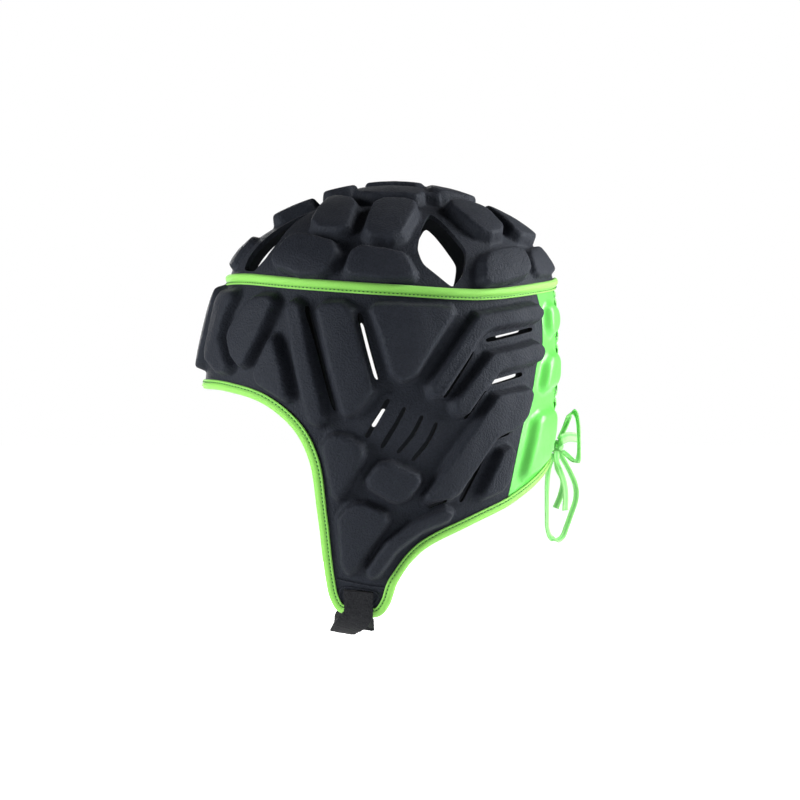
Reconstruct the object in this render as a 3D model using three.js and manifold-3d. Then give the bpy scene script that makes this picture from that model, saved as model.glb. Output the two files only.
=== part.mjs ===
// Padded head guard for rugby: a moulded foam crown and side shell with raised pads, green rear
// panels drawn together by a lace, green tape over every edge, and a strap under the chin.
// Lengths are in millimetres. +Z is up, the wearer faces -Y and the wearer's left is +X. The origin
// is the inside of the crown's top, where the guard sits on the head.
import * as THREE from 'three';
import { mergeVertices } from 'three/addons/utils/BufferGeometryUtils.js';
import loadManifold from 'manifold-3d';

const wasm = await loadManifold();
wasm.setup();

// Foam sheet and pads
const SHEET = 3;
const PAD_ROOT = 1;
const SIDE_PAD = { rise: 7, shoulder: 4, inset: 3 };
const CROWN_PAD = { rise: 7, shoulder: 4, inset: 3 };
const TOP_PAD = { rise: 8.6, shoulder: 4.5, inset: 3 };
const LOW_PAD = { rise: 3.5, shoulder: 2.5, inset: 2.5 };
const CORNER = 4;
const SLIT_CORNER = 1.2;
const BLUNT = 2.3;
const MOST_CUT = 0.4;
const CHORD_SAG = 0.63;
const STRAIGHT = 1e-3;
const GAP = 0.4;
const MERGE = 1e-4;

// Inside of the guard in level sections: half width, reach to the brow and reach to the back
const HEAD = [
  { z: -40, side: 73.0, front: 94.0, back: 94.0 },
  { z: -60, side: 76.5, front: 102.3, back: 97.0 },
  { z: -80, side: 78.5, front: 107.5, back: 98.0 },
  { z: -110, side: 79.0, front: 113.2, back: 98.0 },
  { z: -140, side: 77.0, front: 114.0, back: 95.5 },
  { z: -170, side: 72.0, front: 110.0, back: 92.0 },
  { z: -200, side: 65.0, front: 104.0, back: 88.0 },
  { z: -230, side: 56.0, front: 98.0, back: 85.0 },
  { z: -260, side: 45.0, front: 92.0, back: 82.0 },
];

// Drop of the seam between crown and side shell, by the turn from the brow in degrees
const SEAM_DROP = [
  { turn: 0, drop: 49.0 },
  { turn: 30, drop: 50.3 },
  { turn: 60, drop: 55.0 },
  { turn: 90, drop: 59.0 },
  { turn: 120, drop: 61.0 },
  { turn: 150, drop: 55.7 },
  { turn: 180, drop: 50.0 },
];

// The side pattern is measured round this oval, and the crown pattern across and along the dome
const OVAL = { across: 76, along: 98 };
const DOME = { across: 104, along: 114, fullness: 1.75 };
const RIM_SHARE = 0.995;
const STATIONS = 28;
const REAR_STATION = 27;

// Crown pads on the left in plan, +y to the back; each is repeated on the right
const CROWN_SIDE_PADS = [
  { pad: 'top', size: CROWN_PAD, corners: [[14, -22], [31, -14], [32, 14], [14, 14]] },
  { pad: 'upper_front', size: CROWN_PAD, corners: [[18, -31], [36, -17], [64, -23], [57, -38], [48, -41]] },
  { pad: 'upper_rear', size: CROWN_PAD, corners: [[69, -16], [37, -9], [36, 8], [42, 12], [71, 3]] },
  {
    pad: 'lower_front', size: CROWN_PAD,
    corners: [[66, -72], [60, -66], [52, -51], [72, -28], [90, -40], [84, -57]],
  },
  { pad: 'lower_rear', size: CROWN_PAD, corners: [[93, -30], [74, -21], [80, 5], [95, 14], [97, -8]] },
  {
    pad: 'back_upper_outer', size: CROWN_PAD,
    corners: [[32, 25], [24, 30], [17, 40], [21, 47], [39, 58], [52, 47], [46, 37]],
  },
  { pad: 'back_upper_inner', size: CROWN_PAD, corners: [[4, 45], [13, 48], [35, 64], [22, 74], [4, 78]] },
  { pad: 'back_lower_outer', size: CROWN_PAD, corners: [[66, 47], [43, 69], [56, 82], [76, 66], [86, 53]] },
  { pad: 'back_lower_inner', size: LOW_PAD, corners: [[38, 75], [4, 83], [4, 103], [28, 100], [51, 88]] },
];
// Crown pads on the middle line: half widths at the front and rear edges
const CROWN_MIDDLE_PADS = [
  { pad: 'brow', size: LOW_PAD, front: -101, frontHalf: 26, rear: -75, rearHalf: 21 },
  { pad: 'forehead', size: CROWN_PAD, front: -61, frontHalf: 18, rear: -39, rearHalf: 11 },
  { pad: 'fore_top', size: TOP_PAD, front: -35, frontHalf: 12, rear: -19, rearHalf: 10 },
  { pad: 'apex', size: TOP_PAD, front: -15, frontHalf: 10, rear: 15, rearHalf: 10 },
  { pad: 'rear_top', size: TOP_PAD, front: 19, frontHalf: 25, rear: 41, rearHalf: 11 },
];
const CROWN_VENTS = [
  { vent: 'front', corners: [[15, -41], [29, -51], [45, -62], [53, -75], [54, -89], [41, -96], [29, -72]] },
  { vent: 'rear', corners: [[38, 18], [55, 31], [64, 39], [81, 41], [94, 37], [83, 16], [73, 12], [53, 14]] },
];

// Side pads on the left: lengths round the head from the middle of the brow, and heights
const SIDE_PADS = [
  { pad: 'brow', corners: [[20, -56], [42, -58], [36, -72], [35, -84], [50, -106], [38, -107], [21, -97]] },
  { pad: 'kite', corners: [[54, -61], [73, -61], [66, -84], [57, -106], [48, -97], [41, -83]] },
  { pad: 'temple', corners: [[73, -81], [81, -103], [86, -126], [63, -111]] },
  { pad: 'before_ear', corners: [[95, -66], [114, -66], [123, -101], [127, -118], [116, -134], [112, -131]] },
  { pad: 'ear', corners: [[123, -67], [173, -69], [155, -98], [147, -112], [136, -112], [130, -88]] },
  {
    pad: 'behind_ear',
    corners: [[195, -120], [223, -115], [217, -137], [197, -146], [174, -181], [152, -183]],
  },
  { pad: 'nape', corners: [[201, -153], [212, -149], [208, -176], [188, -183]] },
  { pad: 'cheek_front', corners: [[101, -146], [111, -141], [124, -152], [112, -177], [106, -184]] },
  { pad: 'cheek_rear', corners: [[121, -172], [131, -157], [155, -168], [144, -183], [135, -182]] },
  { pad: 'jaw', corners: [[107, -193], [113, -184], [122, -183], [136, -191], [114, -226], [108, -225]] },
];
// Side pads that run as bars of even width
const SIDE_BARS = [
  { bar: 'sideburn', width: 9.5, line: [[82, -64], [90, -95], [95, -114], [100, -138]] },
  { bar: 'upper_sweep', width: 10.5, line: [[230, -70], [186, -77], [158, -121]] },
  { bar: 'lower_sweep', width: 12, line: [[230, -93], [194, -101], [172, -131]] },
  { bar: 'jaw_ridge', width: 8, line: [[173, -189], [152, -197], [136, -209], [123, -228]] },
];
const MIDDLE_BROW_PAD = [[-13, -53.4], [13, -53.4], [15, -80], [12, -103], [-12, -103], [-15, -80]];
// Slits through the sheet
const SIDE_SLITS = [
  { slit: 'front', width: 2.4, line: [[90, -68], [99, -97], [108, -129]] },
  { slit: 'ear_front', width: 2.6, line: [[119, -77], [129, -109]] },
  { slit: 'sweep_upper', width: 2.4, line: [[226, -81], [191, -88.5]] },
  { slit: 'sweep_upper_fall', width: 2.4, line: [[183, -95], [166, -121]] },
  { slit: 'sweep_lower', width: 2.6, line: [[224, -106], [196, -113]] },
  { slit: 'sweep_lower_fall', width: 2.4, line: [[189, -118], [179, -134]] },
  { slit: 'nape_upper', width: 2.4, line: [[215, -143], [202, -147]] },
  { slit: 'nape_fall', width: 2.6, line: [[196, -152], [181, -181]] },
  { slit: 'ear_1', width: 2.4, line: [[137, -123], [125, -147]] },
  { slit: 'ear_2', width: 2.4, line: [[146, -128], [133, -153]] },
  { slit: 'ear_3', width: 2.4, line: [[156, -132], [142, -156]] },
  { slit: 'ear_4', width: 2.4, line: [[165, -136], [151, -160]] },
];

// Edges of the side shell and the rear panel, on the left
const FACE_EDGE = [
  [0, -113.6], [41, -115.6], [69, -123.4], [87, -139], [95, -158], [97.2, -191], [98.7, -232],
  [101.2, -249.5],
];
const NAPE_EDGE = [[131, -250], [137.4, -230], [153.6, -210.8], [184.5, -196], [213, -185]];
const REAR_NAPE_EDGE = [[213, -185], [235, -174.5], [255, -165], [264.6, -160.5]];
const REAR_SEAM = [[232, -58], [236, -73], [236, -90], [230, -102], [227, -116], [221, -136], [213, -185]];
const REAR_PADS = [
  { pad: 'upper', corners: [[240, -64], [256, -66], [256, -80], [241, -85]] },
  { pad: 'middle', corners: [[239, -97], [256, -93], [256, -113], [233, -119]] },
  { pad: 'lower', corners: [[230, -132], [256, -128], [256, -146], [249, -160], [222, -172]] },
];
const EYELETS = { around: 260.5, heights: [-60, -88, -121, -150], wide: 5, tall: 9 };

// Tape: the band lies on the seam, the bindings fold round the edge of the sheet
const BAND = { tall: 6.4, thick: 2.4, rearGap: 4 };
const BINDING = { thick: 1.4, outside: 3.4, inside: 3.4 };

// Chin straps: each is sewn on a flap, and the narrow left one closes under the wide right one
const STRAP = { thick: 1.6, steps: 14, across: [0.12, 0.97, -0.15], flareStart: 0.2, flareEnd: 0.45 };
const STRAP_SEAT = [[116, -236.3], [115.6, -243], [114.8, -251]];
const STRAP_LEFT = {
  sewnWide: 17.5, freeWide: 15,
  line: [[43, -27.5, -258.5], [25, -31, -263.5], [0, -31, -265.2], [-24, -29, -263.6]],
};
const STRAP_RIGHT = {
  sewnWide: 17, freeWide: 25,
  line: [[43, -24, -257.5], [25, -24.5, -261.2], [0, -24.5, -262.8], [-24, -24.5, -261]],
};

// Lace and bow
const LACE = {
  radius: 1.2, sides: 6, steps: 6, endSteps: 3,
  mouth: 2.7, over: 3.1, under: 0.1, apart: 1.9, drawn: 1,
};
const BOW = { radius: 1.4, sides: 8 };
const KNOT = { at: [0, 101, -152], radius: 4.5, around: 8, down: 6 };
const BOW_PARTS = [
  {
    name: 'lace_loop_upper', steps: 16, returns: true,
    line: [[0.6, 104, -145], [0.4, 107, -138.4], [3, 109, -132.6], [9, 110.8, -130.2], [15, 112.2, -132.6],
      [17.7, 113, -138.4], [18, 113.3, -145.5], [17.8, 113.4, -151.6], [15.6, 113.4, -158],
      [10.8, 112.8, -161.1], [6, 110.8, -160.3], [2.9, 107.6, -157.2]],
  },
  {
    name: 'lace_loop_lower', steps: 20, returns: true,
    line: [[-5.4, 97, -165], [-6.4, 96, -174], [-6.7, 95.8, -186], [-6.6, 95.8, -195], [-6.7, 96, -202.6],
      [-8.4, 98, -208.4], [-12, 102.2, -211], [-15.7, 106.5, -208.5], [-17.4, 109, -202.6],
      [-16.8, 111.9, -194.2], [-14.8, 114.6, -185], [-12, 114.2, -177], [-8, 110.6, -168.5]],
  },
  {
    name: 'lace_tail_long', steps: 6,
    line: [[2.5, 101.5, -165], [2, 105, -173], [1.5, 103.6, -182], [2, 100.4, -190]],
  },
  {
    name: 'lace_tail_short', steps: 6,
    line: [[10, 100.4, -160.6], [12.4, 102.6, -167], [11.6, 105, -174], [9.8, 106, -182.5], [8, 105.8, -191]],
  },
];

const BLACK_FOAM = { color: 0x17181b, roughness: 0.72, metalness: 0 };
const GREEN_FOAM = { color: 0x3fe036, roughness: 0.45, metalness: 0 };
const GREEN_TAPE = { color: 0x86ee3c, roughness: 0.6, metalness: 0 };
const BLACK_STRAP = { color: 0x111114, roughness: 0.85, metalness: 0 };
const GREEN_LACE = { color: 0x52dc3a, roughness: 0.6, metalness: 0 };

// Places on the head

const headSections = new THREE.CubicInterpolant(
  HEAD.map((row) => -row.z), HEAD.flatMap((row) => [row.side, row.front, row.back]), 3);
const seamDrops = new THREE.CubicInterpolant(
  SEAM_DROP.map((row) => row.turn), SEAM_DROP.map((row) => row.drop), 1);
const halfOval = new THREE.EllipseCurve(0, 0, OVAL.along, OVAL.across, 0, Math.PI);
const HALF_ROUND = halfOval.getLength();

// Turn about the head, in radians, at a length round it from the middle of the brow
function turnAt(around) {
  return Math.sign(around) * Math.PI * halfOval.getUtoTmapping(0, Math.abs(around));
}

function seamHeight(turn) {
  return -seamDrops.evaluate(Math.abs(turn) * THREE.MathUtils.RAD2DEG)[0];
}

// A point on a level section of the head, moved out by a height at right angles to the section
function onSection(turn, z, height) {
  const [side, front, back] = headSections.evaluate(-z);
  const reach = Math.cos(turn) > 0 ? front : back;
  const out = new THREE.Vector2(Math.sin(turn) / side, -Math.cos(turn) / reach).setLength(height);
  return new THREE.Vector3(side * Math.sin(turn) + out.x, -reach * Math.cos(turn) + out.y, z);
}

function onSide(around, z, height) {
  return onSection(turnAt(around), z, height);
}

// The seam tape stands upright above the seam and follows the side shell below it
function onBand(around, z, height) {
  const turn = turnAt(around);
  return onSection(turn, Math.min(z, seamHeight(turn)), height).setZ(z);
}

// A point of the dome's inside for a point of the crown pattern
function domePoint(x, y) {
  const share = Math.min(Math.hypot(x / DOME.across, y / DOME.along), 1) * Math.PI / 2;
  const turn = Math.atan2(x / DOME.across, -y / DOME.along);
  const rim = onSection(turn, seamHeight(turn), 0);
  const power = 2 / DOME.fullness;
  const out = Math.sin(share) ** power;
  return new THREE.Vector3(rim.x * out, rim.y * out, rim.z * (1 - Math.cos(share) ** power));
}

function onCrown(x, y, height) {
  const nudge = 0.05;
  const acrossStep = domePoint(x + nudge, y).sub(domePoint(x - nudge, y));
  const alongStep = domePoint(x, y + nudge).sub(domePoint(x, y - nudge));
  return domePoint(x, y).addScaledVector(acrossStep.cross(alongStep).normalize(), height);
}

// Flat patterns

const flip = ([a, b]) => [-a, b];

function mirrored(corners) {
  return corners.map(flip).reverse();
}

// Evenly spaced points of a smooth line through a few points
function smooth(line, count) {
  const curve = new THREE.CatmullRomCurve3(line.map(([a, b]) => new THREE.Vector3(a, b, 0)));
  return curve.getSpacedPoints(count).map((point) => [point.x, point.y]);
}

function shapeOf(corners) {
  return new THREE.Shape(corners.map(([a, b]) => new THREE.Vector2(a, b)));
}

// A closed outline with each sharp corner cut back by a length along its two edges
function cutCorners(corners, length) {
  const points = corners.map(([a, b]) => new THREE.Vector2(a, b));
  return points.flatMap((corner, i) => {
    const beside = [points.at(i - 1), points[(i + 1) % points.length]];
    const edges = beside.map((next) => next.clone().sub(corner));
    if (edges[0].angleTo(edges[1]) > BLUNT) return [corner.toArray()];
    return edges.map((edge) => {
      const cut = Math.min(length, edge.length() * MOST_CUT);
      return edge.setLength(cut).add(corner).toArray();
    });
  });
}

// A closed outline with every edge moved inwards by a distance
function insetCorners(corners, distance) {
  const points = corners.map(([a, b]) => new THREE.Vector2(a, b));
  const inward = Math.sign(THREE.ShapeUtils.area(points)) * distance;
  const besideEdge = (from, to) => new THREE.Vector2(from.y - to.y, to.x - from.x).normalize();
  return points.map((corner, i) => {
    const first = besideEdge(points.at(i - 1), corner);
    const second = besideEdge(corner, points[(i + 1) % points.length]);
    const mitre = inward / (1 + first.dot(second));
    return first.add(second).multiplyScalar(mitre).add(corner).toArray();
  });
}

// Directions to the left of a line at each of its points
function leftOf(line) {
  return line.map((point, i) => {
    const before = line[Math.max(i - 1, 0)];
    const after = line[Math.min(i + 1, line.length - 1)];
    return new THREE.Vector2(before[1] - after[1], after[0] - before[0]).normalize();
  });
}

// The outline of a bar of even width along a line
function barCorners(line, width) {
  const left = leftOf(line);
  const beside = (side) => line.map(([a, b], i) => [a + side * left[i].x, b + side * left[i].y]);
  return [...beside(width / 2), ...beside(-width / 2).reverse()];
}

// Solids

function solidOf(geometry) {
  geometry.deleteAttribute('normal');
  geometry.deleteAttribute('uv');
  const merged = mergeVertices(geometry, MERGE);
  return new wasm.Manifold(new wasm.Mesh({
    numProp: 3,
    vertProperties: Float32Array.from(merged.attributes.position.array),
    triVerts: Uint32Array.from(merged.index.array),
  }));
}

function geometryOf(solid) {
  const { vertProperties, triVerts } = solid.getMesh();
  const geometry = new THREE.BufferGeometry();
  geometry.setAttribute('position', new THREE.BufferAttribute(vertProperties, 3));
  geometry.setIndex(new THREE.BufferAttribute(triVerts, 1));
  return geometry;
}

// Turns the diagonal of two level triangles wherever that makes them less thin
function relaxed(geometry) {
  const position = geometry.attributes.position;
  const triangles = [];
  for (let i = 0; i < geometry.index.count; i += 3) triangles.push([...geometry.index.array.slice(i, i + 3)]);
  const flatPoint = (i) => new THREE.Vector2(position.getX(i), position.getY(i));
  const level = ([first, ...rest]) => rest.every((i) => position.getZ(i) === position.getZ(first));
  const angleAt = (tip, a, b) => flatPoint(a).sub(flatPoint(tip)).angleTo(flatPoint(b).sub(flatPoint(tip)));
  let turned = true;
  while (turned) {
    turned = false;
    const edges = new Map();
    triangles.forEach(([a, b, c], t) => {
      for (const [from, to, tip] of [[a, b, c], [b, c, a], [c, a, b]]) edges.set(`${from} ${to}`, { t, tip });
    });
    const touched = new Set();
    for (const [key, { t, tip }] of edges) {
      const [from, to] = key.split(' ').map(Number);
      const other = edges.get(`${to} ${from}`);
      if (touched.has(t) || touched.has(other.t) || !level([from, to, tip, other.tip])) continue;
      if (angleAt(tip, from, to) + angleAt(other.tip, from, to) < Math.PI + STRAIGHT) continue;
      triangles[t] = [from, other.tip, tip];
      triangles[other.t] = [other.tip, to, tip];
      touched.add(t).add(other.t);
      turned = true;
    }
  }
  return geometry.clone().setIndex(triangles.flat());
}

// Splits every edge of a flat pattern whose chord would stray too far from the head's curve
function refined(geometry, place) {
  const onHead = ({ x, y, z }) => place(x, y, z);
  const between = (a, b) => a.clone().add(b).multiplyScalar(0.5);
  const sag = ([a, b]) => onHead(between(a, b)).distanceTo(between(onHead(a), onHead(b)));
  const position = geometry.toNonIndexed().attributes.position;
  const corner = (i) => new THREE.Vector3().fromBufferAttribute(position, i);
  const waiting = [];
  for (let i = 0; i < position.count; i += 3) waiting.push([corner(i), corner(i + 1), corner(i + 2)]);
  const done = [];
  while (waiting.length > 0) {
    const [a, b, c] = waiting.pop();
    const turns = [[a, b, c], [b, c, a], [c, a, b]];
    const [from, to, across] = turns.reduce((worst, next) => (sag(next) > sag(worst) ? next : worst));
    if (sag([from, to]) > CHORD_SAG) {
      const middle = between(from, to);
      waiting.push([from, middle, across], [middle, to, across]);
    } else {
      done.push(a, b, c);
    }
  }
  return new THREE.BufferGeometry().setFromPoints(done);
}

// Moves every vertex of a flat pattern (first, second, height) to its place on the head
function wrapped(geometry, place) {
  const position = geometry.attributes.position;
  for (let i = 0; i < position.count; i++) {
    const point = place(position.getX(i), position.getY(i), position.getZ(i));
    position.setXYZ(i, point.x, point.y, point.z);
  }
  geometry.deleteAttribute('normal');
  geometry.deleteAttribute('uv');
  return mergeVertices(geometry, MERGE);
}

// A pad with upright sides, a sloped shoulder and a flat top, rooted inside the sheet
function padSolid(corners, { rise, shoulder, inset }) {
  const base = cutCorners(corners, CORNER);
  const top = cutCorners(insetCorners(corners, inset), CORNER - inset / 2);
  const rings = [
    { outline: base, height: PAD_ROOT },
    { outline: base, height: SHEET + rise - shoulder },
    { outline: top, height: SHEET + rise },
  ];
  const steps = rings.length - 1;
  const geometry = new THREE.ExtrudeGeometry(shapeOf(base), { depth: steps, steps, bevelEnabled: false });
  const position = geometry.attributes.position;
  for (let i = 0; i < position.count; i++) {
    const [x, y] = [position.getX(i), position.getY(i)];
    const corner = base.findIndex(([a, b]) => Math.hypot(a - x, b - y) < MERGE);
    const { outline, height } = rings[Math.round(position.getZ(i))];
    position.setXYZ(i, ...outline[corner], height);
  }
  return solidOf(geometry);
}

function punchSolid(corners) {
  const punch = new THREE.ExtrudeGeometry(shapeOf(corners), { depth: 3 * SHEET, bevelEnabled: false });
  return solidOf(punch.translate(0, 0, -SHEET));
}

// A foam sheet with holes and pads, made flat and then moulded to the head
function mouldedSheet(outline, holes, pads, place) {
  let solid = solidOf(new THREE.ExtrudeGeometry(shapeOf(outline), { depth: SHEET, bevelEnabled: false }));
  for (const hole of holes) solid = solid.subtract(punchSolid(hole));
  for (const pad of pads) solid = solid.add(pad);
  return wrapped(refined(relaxed(geometryOf(solid)), place), place);
}

// Tape of one profile (across the line, height) laid along a line of the pattern
function tape(profile, line, place) {
  const left = leftOf(line);
  const steps = line.length - 1;
  const strip = new THREE.ExtrudeGeometry(shapeOf(profile), { depth: steps, steps, bevelEnabled: false });
  return wrapped(strip, (across, height, along) => {
    const i = Math.round(along);
    return place(line[i][0] + across * left[i].x, line[i][1] + across * left[i].y, height);
  });
}

function mirroredGeometry(geometry) {
  const copy = geometry.clone().scale(-1, 1, 1);
  const index = copy.index.array;
  for (let i = 0; i < index.length; i += 3) [index[i], index[i + 1]] = [index[i + 1], index[i]];
  return copy;
}

function mesh(name, geometry, look) {
  const piece = new THREE.Mesh(geometry, new THREE.MeshStandardMaterial(look));
  piece.name = name;
  return piece;
}

// Crown

function crown() {
  const rim = [];
  for (let i = -STATIONS; i < STATIONS; i++) {
    const turn = turnAt(HALF_ROUND * i / STATIONS);
    rim.push([DOME.across * Math.sin(turn) * RIM_SHARE, -DOME.along * Math.cos(turn) * RIM_SHARE]);
  }
  const middlePads = CROWN_MIDDLE_PADS.map(({ size, front, frontHalf, rear, rearHalf }) => (
    padSolid([[-frontHalf, front], [frontHalf, front], [rearHalf, rear], [-rearHalf, rear]], size)));
  const sidePads = CROWN_SIDE_PADS.flatMap(({ size, corners }) => (
    [corners, mirrored(corners)].map((outline) => padSolid(outline, size))));
  const vents = CROWN_VENTS.flatMap(({ corners }) => [corners, mirrored(corners)])
    .map((corners) => cutCorners(corners, CORNER));
  return mesh('crown', mouldedSheet(rim, vents, [...middlePads, ...sidePads], onCrown), BLACK_FOAM);
}

// Side shell and rear panels

const faceEdge = smooth(FACE_EDGE, 20);
const napeEdge = smooth(NAPE_EDGE, 11);
const rearNapeEdge = smooth(REAR_NAPE_EDGE, 5);
const rearSeam = smooth(REAR_SEAM, 14);

// Points just under the crown seam between two lengths round the head
function underSeam(from, to) {
  const points = [];
  for (let i = 0; i <= STATIONS; i++) {
    const around = HALF_ROUND * i / STATIONS;
    if (around > from && around < to) points.push([around, seamHeight(turnAt(around)) - GAP]);
  }
  return points;
}

function sideShell() {
  const leftEdge = [
    ...underSeam(0, REAR_SEAM[0][0]), ...rearSeam.slice(0, -1), ...[...napeEdge].reverse(),
    ...[...faceEdge].reverse().slice(0, -1),
  ];
  const browTop = [0, seamHeight(0) - GAP];
  const outline = [browTop, ...leftEdge, FACE_EDGE[0], ...mirrored(leftEdge)];
  const leftPads = [
    ...SIDE_PADS.map(({ corners }) => corners),
    ...SIDE_BARS.map(({ line, width }) => barCorners(line, width)),
  ];
  const pads = [MIDDLE_BROW_PAD, ...leftPads, ...leftPads.map(mirrored)]
    .map((corners) => padSolid(corners, SIDE_PAD));
  const leftSlits = SIDE_SLITS.map(({ line, width }) => barCorners(line, width));
  const slits = [...leftSlits, ...leftSlits.map(mirrored)].map((corners) => cutCorners(corners, SLIT_CORNER));
  return mesh('side_shell', mouldedSheet(outline, slits, pads, onSide), BLACK_FOAM);
}

function rearPanelGeometry() {
  const rearEnd = HALF_ROUND * REAR_STATION / STATIONS;
  const away = ([a, b]) => [a + GAP, b];
  const top = underSeam(REAR_SEAM[0][0] + 2 * GAP, rearEnd + GAP);
  const outline = [...rearSeam.map(away).reverse(), ...top, ...[...rearNapeEdge].reverse().slice(0, -1)];
  const eyelets = EYELETS.heights.map((z) => {
    const line = [[EYELETS.around, z - EYELETS.tall / 2], [EYELETS.around, z + EYELETS.tall / 2]];
    return cutCorners(barCorners(line, EYELETS.wide), SLIT_CORNER);
  });
  const pads = REAR_PADS.map(({ corners }) => padSolid(corners, LOW_PAD));
  return mouldedSheet(outline, eyelets, pads, onSide);
}

// Tapes

function crownBand() {
  const line = [];
  for (let i = -STATIONS; i <= STATIONS; i++) {
    const end = HALF_ROUND - BAND.rearGap / 2;
    const around = -THREE.MathUtils.clamp(HALF_ROUND * i / STATIONS, -end, end);
    line.push([around, seamHeight(turnAt(around))]);
  }
  const [inner, half] = [SHEET + GAP, BAND.tall / 2];
  const profile = [
    [-half, inner], [half, inner], [half, inner + BAND.thick / 2], [half / 2, inner + BAND.thick],
    [-half / 2, inner + BAND.thick], [-half, inner + BAND.thick / 2],
  ];
  return mesh('crown_band', tape(profile, line, onBand), GREEN_TAPE);
}

// A folded tape round the edge of the sheet, which lies to the right of the line
function bindingGeometry(line) {
  const { thick, outside, inside } = BINDING;
  const [top, bottom] = [SHEET + GAP, -GAP];
  const profile = [
    [-outside, top], [-outside, top + thick], [GAP, top + thick], [GAP + thick, top], [GAP + thick, bottom],
    [GAP, bottom - thick], [-inside, bottom - thick], [-inside, bottom], [GAP, bottom], [GAP, top],
  ];
  return tape(profile, line, onSide);
}

function bindings() {
  const leftFace = [...faceEdge].reverse();
  const faceLine = [...leftFace, ...mirrored(leftFace).slice(1)];
  const napeLine = [...[...rearNapeEdge].reverse(), ...[...napeEdge].reverse().slice(1)];
  const nape = bindingGeometry(napeLine);
  return [
    mesh('face_binding', bindingGeometry(faceLine), GREEN_TAPE),
    mesh('nape_binding_left', nape, GREEN_TAPE),
    mesh('nape_binding_right', mirroredGeometry(nape), GREEN_TAPE),
  ];
}

// Chin strap

function strapGeometry({ sewnWide, freeWide, line }) {
  const seatHeight = SHEET + GAP + STRAP.thick / 2;
  const seat = STRAP_SEAT.map(([around, z]) => onSide(around, z, seatHeight));
  const path = new THREE.CatmullRomCurve3([...seat, ...line.map((point) => new THREE.Vector3(...point))]);
  const section = [[-1, -1], [1, -1], [1, 1], [-1, 1]]
    .map(([edge, face]) => [edge / 2, face * STRAP.thick / 2]);
  const strip = new THREE.ExtrudeGeometry(shapeOf(section), {
    depth: STRAP.steps, steps: STRAP.steps, bevelEnabled: false,
  });
  return wrapped(strip, (edge, thick, along) => {
    const share = along / STRAP.steps;
    const flare = THREE.MathUtils.smoothstep(share, STRAP.flareStart, STRAP.flareEnd);
    const wide = edge * THREE.MathUtils.lerp(sewnWide, freeWide, flare);
    const run = path.getTangentAt(share);
    const across = new THREE.Vector3(...STRAP.across);
    across.addScaledVector(run, -across.dot(run)).normalize();
    const out = run.clone().cross(across);
    return path.getPointAt(share).addScaledVector(across, wide).addScaledVector(out, thick);
  });
}

// Lace

function tube(line, { radius, sides }, steps) {
  const ring = Array.from({ length: sides }, (_, i) => {
    const angle = 2 * Math.PI * i / sides;
    return [radius * Math.cos(angle), radius * Math.sin(angle)];
  });
  const path = new THREE.CatmullRomCurve3(line);
  const geometry = new THREE.ExtrudeGeometry(shapeOf(ring), { steps, extrudePath: path });
  return wrapped(geometry, (x, y, z) => new THREE.Vector3(x, y, z));
}

// A lace from one eyelet to another, out through the first and in through the second
function laceLine(from, to, rise) {
  const inHole = SHEET / 2;
  const middle = onSide(from.around, from.z, SHEET + rise).lerp(onSide(to.around, to.z, SHEET + rise), 0.5);
  return [
    onSide(from.around, from.z, inHole), onSide(from.around, from.z, SHEET + LACE.mouth), middle,
    onSide(to.around, to.z, SHEET + LACE.mouth), onSide(to.around, to.z, inHole),
  ];
}

function lacing() {
  const { around, heights } = EYELETS;
  const { apart } = LACE;
  const hole = (side, row, shift) => ({ around: side * around, z: heights[row] + shift });
  const pieces = [];
  const bar = laceLine(hole(1, 0, apart), hole(-1, 0, apart), LACE.under);
  pieces.push(mesh('lace_bar', tube(bar, LACE, LACE.steps), GREEN_LACE));
  for (let row = 0; row < heights.length - 1; row++) {
    for (const [side, rise] of [[1, LACE.under], [-1, LACE.over]]) {
      const line = laceLine(hole(side, row, -apart), hole(-side, row + 1, apart), rise);
      pieces.push(mesh(`lace_cross_${pieces.length}`, tube(line, LACE, LACE.steps), GREEN_LACE));
    }
  }
  for (const [name, side] of [['lace_end_left', 1], ['lace_end_right', -1]]) {
    const lowest = { around: side * (around + LACE.drawn), z: heights.at(-1) - apart };
    const [inHole, atMouth] = laceLine(lowest, lowest, LACE.under);
    const line = [inHole, atMouth, atKnot(atMouth)];
    pieces.push(mesh(name, tube(line, LACE, LACE.endSteps), GREEN_LACE));
  }
  return pieces;
}

// The point just off the knot on the side of another point
function atKnot(point) {
  const knot = new THREE.Vector3(...KNOT.at);
  return knot.clone().addScaledVector(point.clone().sub(knot).normalize(), KNOT.radius + GAP);
}

function knotAndBow() {
  const knot = new THREE.SphereGeometry(KNOT.radius, KNOT.around, KNOT.down).translate(...KNOT.at);
  const parts = BOW_PARTS.map(({ name, line, steps, returns }) => {
    const free = line.map((point) => new THREE.Vector3(...point));
    const whole = [atKnot(free[0]), ...free, ...(returns ? [atKnot(free.at(-1))] : [])];
    return mesh(name, tube(whole, BOW, steps), GREEN_LACE);
  });
  return [mesh('lace_knot', knot, GREEN_LACE), ...parts];
}

const rearPanel = rearPanelGeometry();
const headGuard = new THREE.Group();
headGuard.name = 'head_guard';
headGuard.add(
  crown(),
  sideShell(),
  mesh('rear_panel_left', rearPanel, GREEN_FOAM),
  mesh('rear_panel_right', mirroredGeometry(rearPanel), GREEN_FOAM),
  crownBand(),
  ...bindings(),
  mesh('chin_strap_left', strapGeometry(STRAP_LEFT), BLACK_STRAP),
  mesh('chin_strap_right', mirroredGeometry(strapGeometry(STRAP_RIGHT)), BLACK_STRAP),
  ...lacing(),
  ...knotAndBow(),
);

export default headGuard;
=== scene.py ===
"""A padded rugby head guard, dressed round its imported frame.

Metres, +Z up. The face opening looks along -Y and the wearer's left is +X.
"""
import math

import bmesh
import bpy
import numpy as np
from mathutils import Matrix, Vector, noise
from mathutils.bvhtree import BVHTree


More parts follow.
